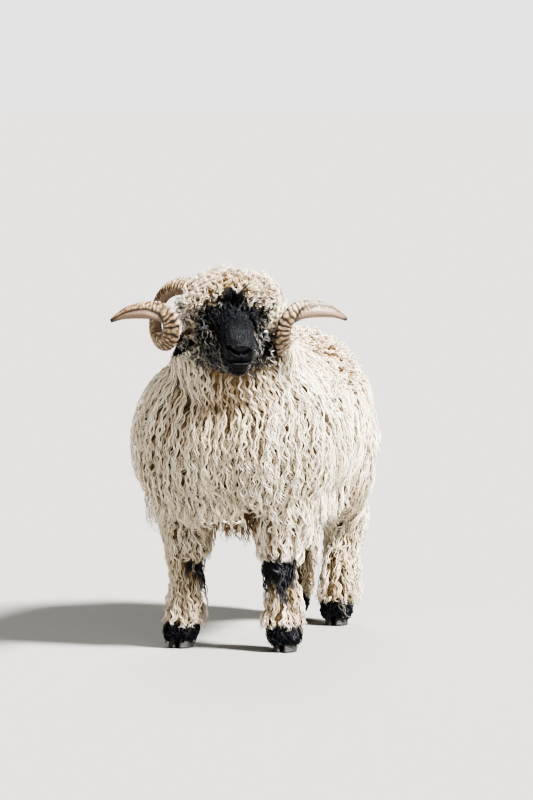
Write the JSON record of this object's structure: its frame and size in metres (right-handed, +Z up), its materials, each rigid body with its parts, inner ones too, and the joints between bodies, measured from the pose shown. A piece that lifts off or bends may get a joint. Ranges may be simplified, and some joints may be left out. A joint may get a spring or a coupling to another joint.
{
  "type": "valais blacknose sheep",
  "caption": "Still life-size valais blacknose ram, standing, with curled horns, a long curly fleece and a black face, ears, knees and feet.",
  "frame": {"origin": "on the floor, at the middle of the box round the whole ram", "axes": "-Y is the way the ram stands, +X its left side, +Z up; its head is raised and turned to its left"},
  "size_m": [0.601, 1.2096, 0.9859],
  "materials": {
    "fleece": "long curly wool, creamy white and sandy on the back",
    "black_hair": "short black hair with a faint sheen",
    "horn": "ridged tan horn with dark tips",
    "hoof": "grey-black horn, worn",
    "eye": "wet, amber-brown with a level pupil"
  },
  "bodies": {
    "root": {"torso": "fleece", "neck": "fleece", "head": "black_hair", "tail": "fleece", "leg_front_left": "fleece", "leg_front_right": "fleece", "leg_hind_left": "fleece", "leg_hind_right": "fleece", "ear_left": "black_hair", "ear_right": "black_hair", "eye_left": "eye", "eye_right": "eye", "horn_left": "horn", "horn_right": "horn", "claw_front_left_left": "hoof", "claw_front_left_right": "hoof", "claw_front_right_left": "hoof", "claw_front_right_right": "hoof", "claw_hind_left_left": "hoof", "claw_hind_left_right": "hoof", "claw_hind_right_left": "hoof", "claw_hind_right_right": "hoof"}
  },
  "joints": []
}
